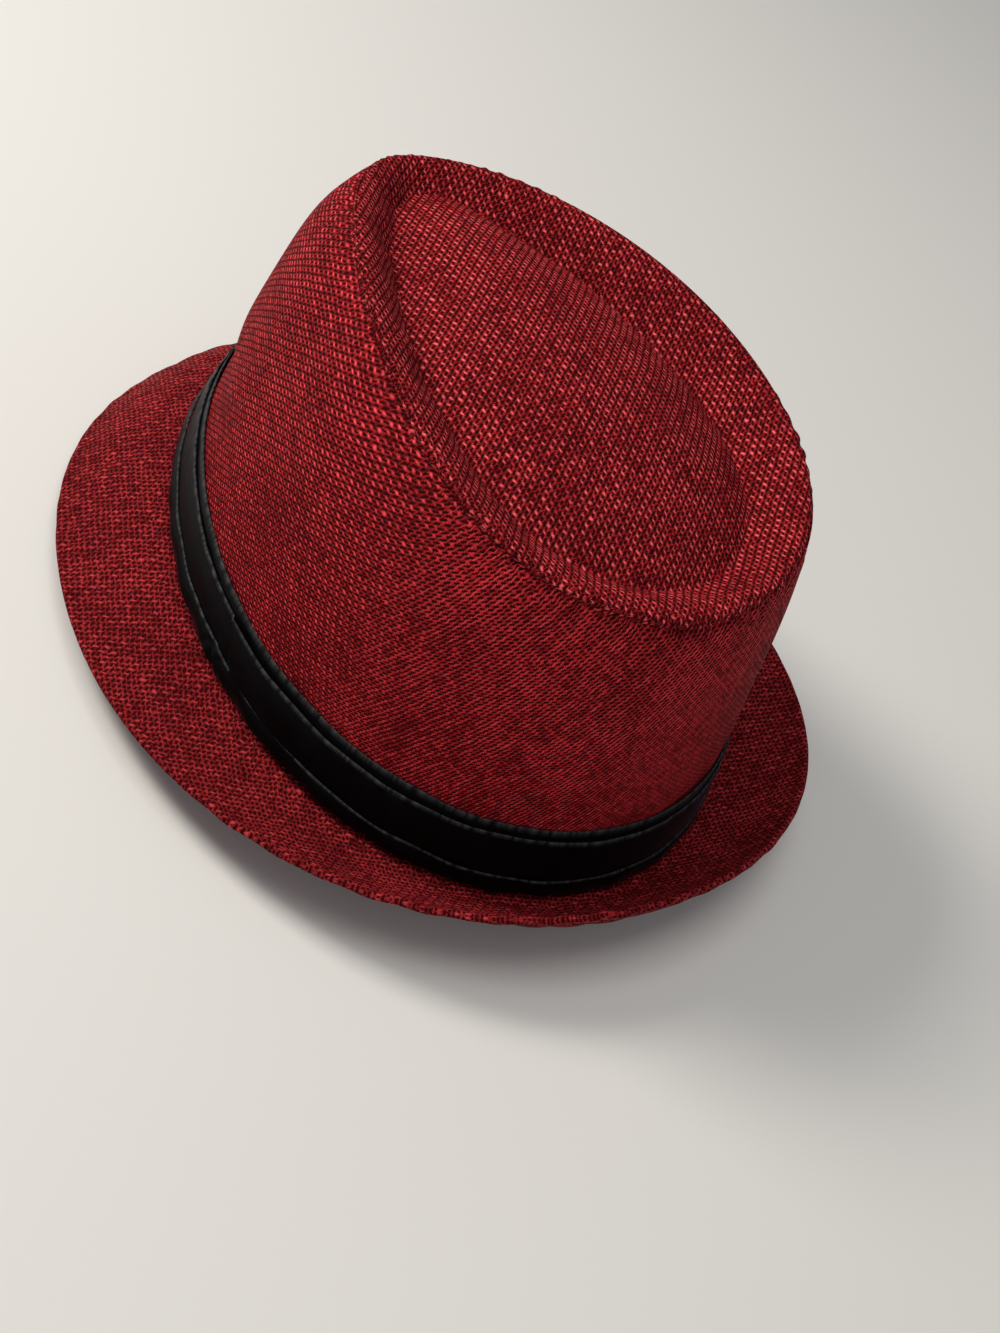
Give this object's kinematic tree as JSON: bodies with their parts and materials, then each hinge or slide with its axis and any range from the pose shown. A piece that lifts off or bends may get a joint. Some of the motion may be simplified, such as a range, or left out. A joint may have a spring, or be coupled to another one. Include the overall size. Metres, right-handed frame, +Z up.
{
  "type": "woven straw trilby with pleated ribbon band",
  "caption": "Soft short-brimmed hat of two-tone woven straw with a teardrop crown, a brim turned up behind and a pleated satin ribbon.",
  "frame": {"origin": "centre of the hat's outline on the surface that it rests on, below the head opening", "axes": "+Z up off the surface, -Y towards the front of the hat, +Y towards the turned-up back, +X towards the wearer's left"},
  "size_m": [0.2334, 0.2454, 0.1146],
  "materials": {
    "crown_straw": "coarse plain weave of bright red, dark red and near black flat strands",
    "tip_straw": "coarse plain weave, grain running across the crown",
    "brim_straw": "coarse plain weave cut flat, two plies turned in at the edge",
    "ribbon_backing": "black satin, in shadow",
    "ribbon_pleats": "black satin with a cool soft sheen"
  },
  "bodies": {
    "root": {"crown_side": "crown_straw", "crown_tip": "tip_straw", "brim": "brim_straw", "band_backing": "ribbon_backing", "band_lower_pleat": "ribbon_pleats", "band_main_pleat": "ribbon_pleats"}
  },
  "joints": []
}
